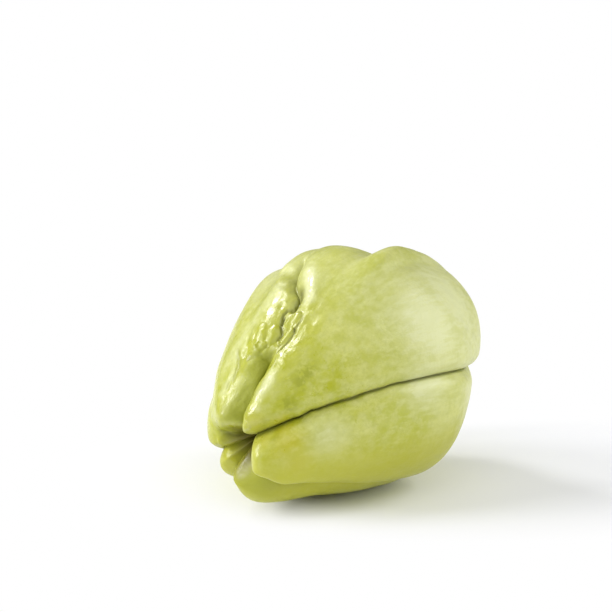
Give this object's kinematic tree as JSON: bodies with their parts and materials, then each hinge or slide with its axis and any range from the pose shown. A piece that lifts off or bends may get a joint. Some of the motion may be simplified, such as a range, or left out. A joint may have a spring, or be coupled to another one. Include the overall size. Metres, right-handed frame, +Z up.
{
  "type": "chayote squash",
  "caption": "Whole chayote squash, pear-shaped, with deep lengthwise folds, a sunken stem pit and a wrinkled upper fold; it rests on its side.",
  "frame": {"origin": "on the ground, under the centre of the bounding box", "axes": "+Z up, +X along the fruit's length towards the blossom end, -X towards the stem pit"},
  "size_m": [0.1298, 0.1004, 0.1002],
  "materials": {
    "skin": "satin"
  },
  "bodies": {
    "root": {"chayote_fruit": "skin"}
  },
  "joints": []
}
